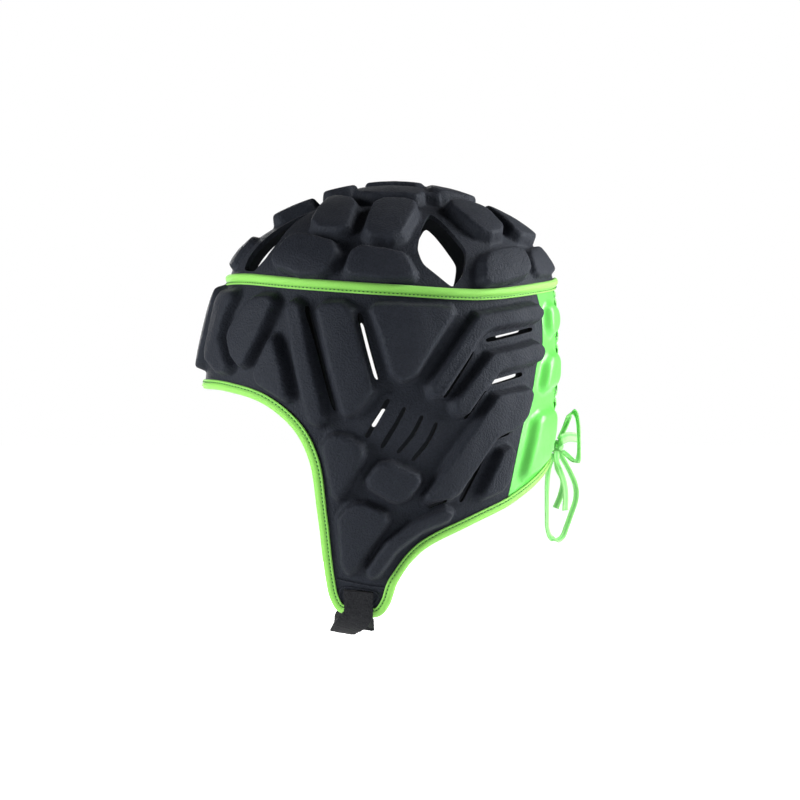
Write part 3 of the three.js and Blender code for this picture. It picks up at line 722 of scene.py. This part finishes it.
panel_height = pressed("rear_panel_left", on_side, *panel_area, blur=1.5, pillow=2.4)
outer = square_grid(*panel_area, PANEL_GRID["step"])
inner = same_rows(outer, PANEL_GRID["inside_step"])
panel_rings = sheet_rings(on_side, outer, inner, panel_height)
panel_seam = seam_cut + (GAP, 0)
panel_low = np.concatenate([PANEL_LOW_ENDS[:1], rear_nape_edge, PANEL_LOW_ENDS[1:]])
panel_top = top_edge[top_edge[:, 0] > PANEL_TOP_FROM]
eyelet_lines = [
    [(EYELETS["around"], z - EYELETS["tall"] / 2), (EYELETS["around"], z + EYELETS["tall"] / 2)]
    for z in EYELETS["heights"]
]
panel_cuts = [
    plate_rings(panel_seam, panel_seam * (0, 1) + (PANEL_GRID["front"] - CUT_PAST["front"], 0)),
    plate_rings(panel_low, panel_low * (1, 0) + (0, bottom)),
    plate_rings(panel_top, panel_top * (1, 0) + (0, top + CUT_PAST["top"])),
    *(bar_rings(line, EYELETS["wide"]) for line in eyelet_lines),
]
for side, mirror in (("left", 1), ("right", -1)):
    piece = object_from(swept(panel_rings * (mirror, 1, 1)), f"laced_panel_{side}", green_satin)
    die_cut(piece, [swept(rings * (mirror, 1, 1)) for rings in panel_cuts], green_satin)
    foam_piece(piece, f"rear_panel_{side}")


# Crown band
# A green knitted tape covers the seam between crown and side shell. Its upper part is rolled over a
# filler and its lower part lies flat, held by a row of stitches. The green thread and the groove it sinks
# into are painted darker as shade, and a thin dark green painted shadow runs along the tape's inner edge.
BAND_FACE = SHEET + GAP
BAND_PROFILE = [
    (-3.3, 0.0), (-3.4, 0.5), (-3.2, 1.0), (-2.6, 1.2), (-1.9, 1.15), (-1.45, 1.05), (-1.1, 1.4),
    (-0.6, 2.0), (0.1, 2.45), (1.0, 2.6), (1.9, 2.45), (2.6, 2.0), (3.1, 1.3), (3.25, 0.6), (3.1, 0.0),
    (0.0, 0.0),
]
BAND_STATIONS = 360
BAND_REAR_GAP = 4.0
BAND_STITCH = {"across": -2.1, "height": BAND_FACE + 1.25}
STITCH = {"long": 1.45, "wide": 0.72, "high": 0.5, "pitch": 2.3}
# Where painted shade lies across the tape, in millimetres round its profile: the stitch groove is painted
# darker as shade, and a thin painted shadow runs along the inner edge.
TAPE_PAINTED_SHADE = {"groove_from": (1.6, 2.2), "groove_to": (2.9, 3.7), "painted_edge_shadow": (0.2, 0.5)}


def on_band(around, z, height):
    """A place on the side shell, or straight above the seam where the tape stands over the crown."""
    turn = turn_at(around)
    points = on_section(turn, np.minimum(z, seam_height(turn)), height)
    points[..., 2] = z
    return points


def tape_rings(line, profile, place):
    """Rings of a tape's profile (across the line, height) along a flat line of the pattern."""
    across, height = np.array(profile).T
    spots = line[:, None] + across[None, :, None] * left_of(line)[:, None]
    return place(spots[..., 0], spots[..., 1], height[None])


def stitched(name, line, across, height, place, look):
    """A row of stitches along a flat line, each a small flattened bead, joined as one mesh."""
    count = int(np.linalg.norm(np.diff(line, axis=0), axis=1).sum() / STITCH["pitch"])
    line = spaced(line, count)
    spots = line + across * left_of(line)
    middle = place(spots[:, 0], spots[:, 1], height)
    along = np.gradient(middle, axis=0)
    along /= np.linalg.norm(along, axis=1)[:, None]
    out = place(spots[:, 0], spots[:, 1], height + 1) - middle
    beside = np.cross(out, along)
    beside /= np.linalg.norm(beside, axis=1)[:, None]
    bead = bmesh.new()
    bmesh.ops.create_uvsphere(bead, u_segments=6, v_segments=4, radius=0.5)
    bead.verts.index_update()
    shape = np.array([vert.co for vert in bead.verts]) * (STITCH["long"], STITCH["wide"], STITCH["high"])
    faces = [[vert.index for vert in face.verts] for face in bead.faces]
    bead.free()
    axes = np.stack([along, beside, out], 1)
    points = (middle[:, None] + shape @ axes).reshape(-1, 3) * MM
    faces = [[i + bead * len(shape) for i in face] for bead in range(count) for face in faces]
    data = bpy.data.meshes.new(name)
    data.from_pydata(points, [], faces)
    data.materials.append(look)
    data.polygons.foreach_set("use_smooth", [True] * len(data.polygons))
    stitches = bpy.data.objects.new(name, data)
    bpy.context.scene.collection.objects.link(stitches)
    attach(stitches, "root")


green_tape, place = blank_look("green_tape", "UV")
knit = place.ribs(700.0, "DIAGONAL", 1.0)
fuzz = place.noise(1400.0, 2.0)
across = place.node("ShaderNodeSeparateXYZ", {}, {"Vector": place}, 1)
painted_shade_bands = {name: across.ramp(low * MM, high * MM) for name, (low, high) in TAPE_PAINTED_SHADE.items()}
painted_groove_shade = painted_shade_bands["groove_from"] * (1 - painted_shade_bands["groove_to"])
cloth = (knit * 0.5 + fuzz * 0.5).tint((0.165, 0.490, 0.048), (0.310, 0.730, 0.130))
# sewn is the tape's cloth with its stitch groove painted a darker green as the shade in the recess.
sewn = (painted_groove_shade * 0.45).tint(cloth, (0.062, 0.300, 0.024))
place.finish(
    # A thin dark green painted shadow along the tape's inner edge, where it meets the foam.
    Base_Color=(1 - painted_shade_bands["painted_edge_shadow"]).tint(sewn, (0.010, 0.080, 0.010)),
    Roughness=0.55 + 0.15 * fuzz,
    Specular_IOR_Level=0.4,
    Sheen_Weight=0.15,
    Normal=(knit * 0.6 + fuzz * 0.4).bump(0.16 * MM, 0.6),
)
# Green thread, coloured dark as painted shade where the stitches sink into the tape.
thread_painted_shade, place = blank_look("thread_painted_shade")
place.finish(
    Base_Color=place.noise(900.0).tint((0.004, 0.050, 0.008), (0.012, 0.110, 0.018)),
    Roughness=0.55 + 0.2 * place.noise(2000.0),
    Specular_IOR_Level=0.4,
)

band_end = HALF_ROUND - BAND_REAR_GAP / 2
band_around = np.linspace(-band_end, band_end, BAND_STATIONS)
band_line = np.stack([band_around, seam_height(turn_at(band_around))], 1)
band_profile = [(across, BAND_FACE + height) for across, height in BAND_PROFILE]
piece = object_from(swept(tape_rings(band_line, band_profile, on_band)), "seam_band", green_tape)
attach(piece, "root")
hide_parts("crown_band")
stitched("band_stitches", band_line, place=on_band, look=thread_painted_shade, **BAND_STITCH)


# Bound edges
# The face edge and the nape edge are wrapped in the same green tape, folded over the foam and sewn
# through near its inner lip. The ends turn under the flap's corners and stop behind the strap.
FOLD_PROFILE = [
    (-3.5, 3.4), (-3.65, 3.9), (-3.4, 4.45), (-2.9, 4.6), (-2.4, 4.4), (-2.0, 4.2), (-1.5, 4.45),
    (-0.7, 4.85), (0.2, 4.75), (1.2, 4.35), (1.95, 3.6), (2.35, 2.5), (2.4, 1.4), (2.25, 0.3),
    (1.85, -0.7), (1.1, -1.4), (0.1, -1.75), (-0.8, -1.85), (-2.0, -1.65), (-3.0, -1.55), (-3.45, -1.2),
    (-3.5, -0.4), (0.2, -0.4), (0.35, 1.5), (0.2, 3.4),
]
FOLD_STITCH = {"across": -2.0, "height": 4.4}

left_face = face_edge[::-1]
face_line = np.concatenate([left_face, (left_face * (-1, 1))[::-1][1:]])
nape_line = np.concatenate([rear_nape_edge[::-1], nape_edge[::-1][1:]])


def on_other_side(around, z, height):
    return on_side(around, z, height) * (-1, 1, 1)


for name, line, onto in [
    ("face_binding", face_line, on_side),
    ("nape_binding_left", nape_line, on_side),
    ("nape_binding_right", nape_line, on_other_side),
]:
    piece = object_from(swept(tape_rings(line, FOLD_PROFILE, onto)), f"folded_{name}", green_tape)
    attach(piece, "root")
    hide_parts(name)
    stitched(f"stitches_{name}", line, place=onto, look=thread_painted_shade, **FOLD_STITCH)


# Chin straps
# Black webbing with looped pile is sewn to each flap below two thin welts in the foam. The narrow left
# strap passes under the chin and lies below the wider right one, where the pile holds the two together.
STRAP = {"thick": 1.9, "stations": 150, "corners": 56, "across": (0.12, 0.97, -0.15), "flare": (0.2, 0.45)}
PILE = {"deep": 0.5, "scale": 900}
STRAP_SEAT = [(116, -236.3), (115.6, -243), (114.8, -251)]
WELT_PROFILE = [
    (-0.75, 2.7), (-0.6, 3.4), (-0.3, 3.8), (0.0, 3.9), (0.3, 3.8), (0.6, 3.4), (0.75, 2.7), (0, 2.5),
]
WELT_STEP = 0.7
WELTS = {
    "flap_welt": [(103.2, -229.2), (114, -231.5), (122.8, -233.2), (132.5, -234.2)],
    "strap_welt": [
        (104.6, -242.5), (104.6, -237), (106.2, -234.6), (109.8, -234), (116.8, -235), (123.2, -236.2),
        (126.3, -237), (127.6, -238.8), (126.9, -241), (125.4, -243.5),
    ],
}
STRAPS = [
    {
        "node": "chin_strap_left", "mirror": 1, "sewn": 17.5, "free": 15.0,
        "line": [(43, -27.5, -258.5), (25, -31, -263.5), (0, -31, -265.2), (-24, -29, -263.6)],
    },
    {
        "node": "chin_strap_right", "mirror": -1, "sewn": 17.0, "free": 25.0,
        "line": [(43, -24, -257.5), (25, -24.5, -261.2), (0, -24.5, -262.8), (-24, -24.5, -261)],
    },
]


def rounded_section(corners, squareness=0.35):
    """Points round a flat rounded section of unit width and thickness."""
    turns = np.linspace(0, 2 * math.pi, corners, endpoint=False)
    square = [np.sign(wave) * np.abs(wave) ** squareness / 2 for wave in (np.cos(turns), np.sin(turns))]
    return np.stack(square, 1)


def ribbon_rings(line, across, wide, thick, section):
    """Rings of a flat ribbon along a line in space, turned so that its width lies near a direction."""
    along = np.gradient(line, axis=0)
    along /= np.linalg.norm(along, axis=1)[:, None]
    across = np.broadcast_to(np.asarray(across, float), line.shape)
    across = across - (across * along).sum(1)[:, None] * along
    across = across / np.linalg.norm(across, axis=1)[:, None]
    out = np.cross(along, across)
    wide, thick = (np.broadcast_to(size, len(line))[:, None, None] for size in (wide, thick))
    flat = wide * section[None, :, :1] * across[:, None]
    return line[:, None] + flat + thick * section[None, :, 1:] * out[:, None]


pile_webbing, place = blank_look("pile_webbing")
pile = place.noise(1300.0, 3.0)
ground = place.noise(300.0, 2.0)
fibres = pile.ramp(0.3, 0.75) * 0.7 + ground * 0.3
place.finish(
    Base_Color=fibres.tint((0.005, 0.0056, 0.0075), (0.026, 0.027, 0.030)),
    Roughness=0.80 + 0.15 * pile,
    Specular_IOR_Level=0.15,
    Sheen_Weight=0.03,
    Sheen_Roughness=0.5,
    Normal=(pile * 0.7 + ground * 0.3).bump(0.5 * MM, 0.8),
)
strap_section = rounded_section(STRAP["corners"])
seat_height = SHEET + GAP + STRAP["thick"] / 2
seat = [on_side(around, z, seat_height) for around, z in STRAP_SEAT]
for row in STRAPS:
    line = spaced(smooth_line([*seat, *row["line"]], FINE_STEP), STRAP["stations"])
    share = np.clip((np.linspace(0, 1, len(line)) - STRAP["flare"][0]) / np.ptp(STRAP["flare"]), 0, 1)
    wide = row["sewn"] + (row["free"] - row["sewn"]) * share**2 * (3 - 2 * share)
    rings = ribbon_rings(line, STRAP["across"], wide, STRAP["thick"], strap_section) * (row["mirror"], 1, 1)
    piece = object_from(swept(rings), f"webbing_{row['node']}", pile_webbing)
    for vert in piece.data.vertices:
        vert.co += PILE["deep"] * MM * noise.noise(vert.co * PILE["scale"]) * vert.normal
    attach(piece, "root")
    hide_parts(row["node"])

for name, line in WELTS.items():
    line = smooth_line(line, WELT_STEP)
    piece = object_from(both_sides(tape_rings(line, WELT_PROFILE, on_side)), name, black_knit)
    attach(piece, "root")


# Lacing
# One flat braided lace runs up the rear panels, over and under through four pairs of slots, with a
# straight bar at the top. Its two ends come out of the lowest slots and go into the knot.
LACE = {
    "wide": 3.6, "thick": 0.8, "mouth": 0.7, "over": 0.9, "under": -0.3, "apart": 1.9, "drawn": 1.0,
    "depth": SHEET / 2, "step": 0.7, "edge": 2.3, "corners": 14, "squareness": 0.5,
}
KNOT = {"at": np.array([0, 101.0, -152.0]), "radius": 4.5}
lace_section = rounded_section(LACE["corners"], LACE["squareness"])
green_braid, place = blank_look("green_braid", "UV")
one_way = place.ribs(420.0, "DIAGONAL")
other_way = place.stretched(1, -1).ribs(420.0, "DIAGONAL")
braid = one_way.math("MAXIMUM", one_way, other_way)
across = place.node("ShaderNodeSeparateXYZ", {}, {"Vector": place}, 1)
edge = LACE["edge"] * MM
# The lace is painted paler at its edges and darker green down the middle of each face, as the shading of a
# flat tube.
middle = across.math("PINGPONG", across, edge).ramp(0.45 * edge, 0.95 * edge)
yarn = (braid * 0.7 + place.noise(900.0) * 0.3).tint((0.150, 0.520, 0.120), (0.400, 0.880, 0.310))
place.finish(
    Base_Color=(middle * 0.6).tint(yarn, (0.045, 0.400, 0.050)),
    Roughness=0.55 + 0.15 * braid,
    Specular_IOR_Level=0.4,
    Sheen_Weight=0.15,
    Normal=braid.bump(0.2 * MM, 0.7),
)


def laced(name, line, across):
    """A stretch of the flat lace that stands for one node of the frame."""
    rings = ribbon_rings(line, across, LACE["wide"], LACE["thick"], lace_section)
    piece = object_from(swept(rings), f"flat_{name}", green_braid)
    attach(piece, "root")
    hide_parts(name)


def lace_stops(start, end, rise):
    """A lace from slot to slot: out through the first, across, and in through the second."""
    middle = sum(on_side(*slot, SHEET + rise) for slot in (start, end)) / 2
    mouths = [on_side(*slot, SHEET + LACE["mouth"]) for slot in (start, end)]
    depths = [on_side(*slot, LACE["depth"]) for slot in (start, end)]
    return [depths[0], mouths[0], middle, mouths[1], depths[1]]


def off_knot(point):
    """The point just off the knot on the side of another point."""
    away = np.asarray(point, float) - KNOT["at"]
    return KNOT["at"] + away / np.linalg.norm(away) * (KNOT["radius"] + GAP)


def slot_at(side, row, shift):
    return side * EYELETS["around"], EYELETS["heights"][row] + shift


crossings = [("lace_bar", slot_at(1, 0, LACE["apart"]), slot_at(-1, 0, LACE["apart"]), LACE["under"])]
for row in range(len(EYELETS["heights"]) - 1):
    for side, rise in ((1, "under"), (-1, "over")):
        slots = slot_at(side, row, -LACE["apart"]), slot_at(-side, row + 1, LACE["apart"])
        crossings.append((f"lace_cross_{len(crossings)}", *slots, LACE[rise]))
for name, start, end, rise in crossings:
    stops = lace_stops(start, end, rise)
    laced(name, smooth_line(stops, LACE["step"]), np.cross(stops[-1] - stops[0], (0, 1, 0)))
for name, side in (("lace_end_left", 1), ("lace_end_right", -1)):
    lowest = side * (EYELETS["around"] + LACE["drawn"]), EYELETS["heights"][-1] - LACE["apart"]
    depth, mouth = lace_stops(lowest, lowest, 0)[:2]
    laced(name, smooth_line([depth, mouth, off_knot(mouth)], LACE["step"]), (0, 0, 1))


# Knot and bow
# The lace is tied in a bow that hangs off the nape: two limp loops, two cut tails, and a flat fold tucked
# through the upper loop. The braid twists as it falls and splays a little where it is cut.
BOW = {"thick": 1.2, "step": 0.8, "corners": 16}
BOW_PARTS = [
    {
        "node": "lace_loop_upper", "returns": True, "across": (0.45, 0.75, 0.50), "twist": 60,
        "line": [
            (0.6, 104, -145), (0.4, 107, -138.4), (3, 109, -132.6), (9, 110.8, -130.2), (15, 112.2, -132.6),
            (17.7, 113, -138.4), (18, 113.3, -145.5), (17.8, 113.4, -151.6), (15.6, 113.4, -158),
            (10.8, 112.8, -161.1), (6, 110.8, -160.3), (2.9, 107.6, -157.2),
        ],
    },
    {
        "node": "lace_loop_lower", "returns": True, "across": (0.40, -0.85, 0.35), "twist": -50,
        "line": [
            (-5.4, 97, -165), (-6.4, 96, -174), (-6.7, 95.8, -186), (-6.6, 95.8, -195), (-6.7, 96, -202.6),
            (-8.4, 98, -208.4), (-12, 102.2, -211), (-15.7, 106.5, -208.5), (-17.4, 109, -202.6),
            (-16.8, 111.9, -194.2), (-14.8, 114.6, -185), (-12, 114.2, -177), (-8, 110.6, -168.5),
        ],
    },
    {
        "node": "lace_tail_long", "returns": False, "across": (0.25, 0.95, 0.10), "twist": 25,
        "line": [(2.5, 101.5, -165), (2, 105, -173), (1.5, 103.6, -182), (2, 100.4, -190)],
    },
    {
        "node": "lace_tail_short", "returns": False, "across": (0.35, -0.93, 0.00), "twist": -20,
        "line": [
            (10, 100.4, -160.6), (12.4, 102.6, -167), (11.6, 105, -174), (9.8, 106, -182.5), (8, 105.8, -191),
        ],
    },
]
TUCK = {
    "wide": 6.2, "across": (-0.35, 0, 1),
    "line": [
        (3, 102, -151), (8, 102.6, -148.4), (6.5, 105.4, -146.5), (3.5, 109, -145.8), (-1.5, 114.2, -146.4),
    ],
}
SPLAY = 0.35
KNOT_CORE = 3.0
KNOT_STEPS = 49
KNOT_TURNS = [
    {"axis": (0.9, 0.2, 0.4), "reach": 3.4},
    {"axis": (-0.3, 0.4, 0.9), "reach": 3.7},
    {"axis": (0.5, -0.3, -0.8), "reach": 3.9},
]


def turned_about(vectors, axes, angles):
    """Vectors turned about unit axes at right angles to them."""
    cos, sin = np.cos(angles)[:, None], np.sin(angles)[:, None]
    return vectors * cos + np.cross(axes, vectors) * sin


bow_section = rounded_section(BOW["corners"], LACE["squareness"])
for row in BOW_PARTS:
    stops = [off_knot(row["line"][0]), *row["line"]]
    if row["returns"]:
        stops.append(off_knot(row["line"][-1]))
    line = smooth_line(stops, BOW["step"])
    along = np.gradient(line, axis=0)
    along /= np.linalg.norm(along, axis=1)[:, None]
    share = np.linspace(0, 1, len(line))
    across = np.asarray(row["across"]) - (along @ np.asarray(row["across"]))[:, None] * along
    across = turned_about(across, along, np.radians(row["twist"]) * share)
    wide = LACE["wide"] * (1 + (0 if row["returns"] else SPLAY) * share**3)
    rings = ribbon_rings(line, across, wide, BOW["thick"], bow_section)
    piece = object_from(swept(rings), f"flat_{row['node']}", green_braid)
    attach(piece, "root")
    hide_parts(row["node"])

core = bmesh.new()
bmesh.ops.create_icosphere(core, subdivisions=3, radius=KNOT_CORE * MM)
bmesh.ops.translate(core, verts=core.verts, vec=KNOT["at"] * MM)
wraps = [core]
for row in KNOT_TURNS:
    axis = Vector(row["axis"]).normalized()
    start = axis.orthogonal().normalized()
    angles = np.linspace(0, 2 * math.pi, KNOT_STEPS)[:, None]
    flat = np.cos(angles) * np.array(start) + np.sin(angles) * np.array(axis.cross(start))
    wrap = KNOT["at"] + row["reach"] * flat
    wraps.append(swept(ribbon_rings(wrap, axis, LACE["wide"], BOW["thick"], bow_section)))
tuck = smooth_line(TUCK["line"], BOW["step"])
wraps.append(swept(ribbon_rings(tuck, TUCK["across"], TUCK["wide"], BOW["thick"], bow_section)))
piece = object_from(joined(wraps), "tied_knot", green_braid)
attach(piece, "root")
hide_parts("lace_knot")
